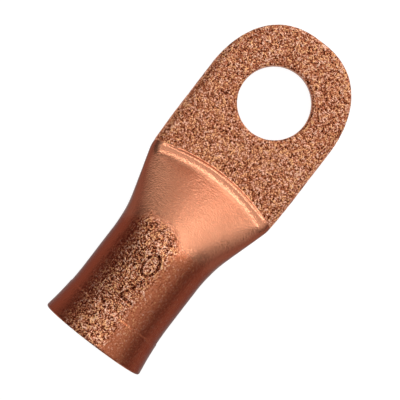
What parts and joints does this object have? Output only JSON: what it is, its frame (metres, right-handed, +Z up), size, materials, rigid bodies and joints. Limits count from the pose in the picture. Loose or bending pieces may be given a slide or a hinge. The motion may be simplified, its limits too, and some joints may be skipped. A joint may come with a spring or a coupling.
{
  "type": "copper cable lug",
  "caption": "Closed-end compression lug for heavy cable: a belled tube barrel, a pressed neck, and a flat round-ended tongue with a stud hole.",
  "frame": {"origin": "centre of the stud hole, in the plane of the tongue's underside", "axes": "+X from the barrel's mouth to the tongue's tip, +Z up along the stud hole, off the tongue's face"},
  "size_m": [0.0527, 0.021, 0.016],
  "materials": {
    "copper": "bare aged copper, granular on the tongue and burnished on the neck"
  },
  "bodies": {
    "root": {"lug": "copper"}
  },
  "joints": []
}
